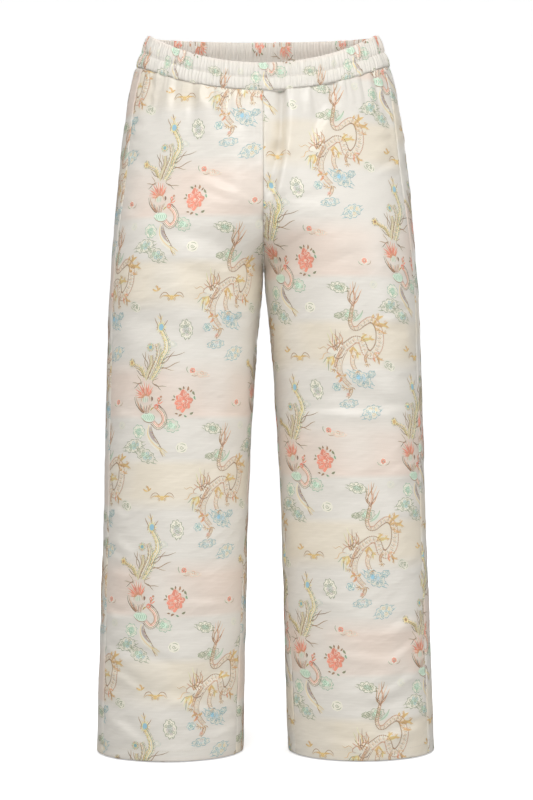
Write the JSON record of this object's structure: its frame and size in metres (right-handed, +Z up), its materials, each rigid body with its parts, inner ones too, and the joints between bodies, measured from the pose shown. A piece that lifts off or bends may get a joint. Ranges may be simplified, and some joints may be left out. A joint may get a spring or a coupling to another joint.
{
  "type": "straight-leg trousers",
  "caption": "Full-length straight-leg trousers in satin brocade, worn form, with a gathered elastic waistband, open waist and open hems.",
  "frame": {"origin": "middle of the waist opening, level with the top of the side seams, where the wearer holds the trousers", "axes": "+Z up towards the waist, -Y towards the front, +X towards the wearer's left"},
  "size_m": [0.4772, 0.2448, 1.023],
  "materials": {
    "brocade": "satin with woven silk motifs",
    "casing": "gathered satin"
  },
  "bodies": {
    "root": {"waistband_front": "casing", "waistband_back": "casing", "front_left": "brocade", "front_right": "brocade", "back_left": "brocade", "back_right": "brocade"}
  },
  "joints": []
}
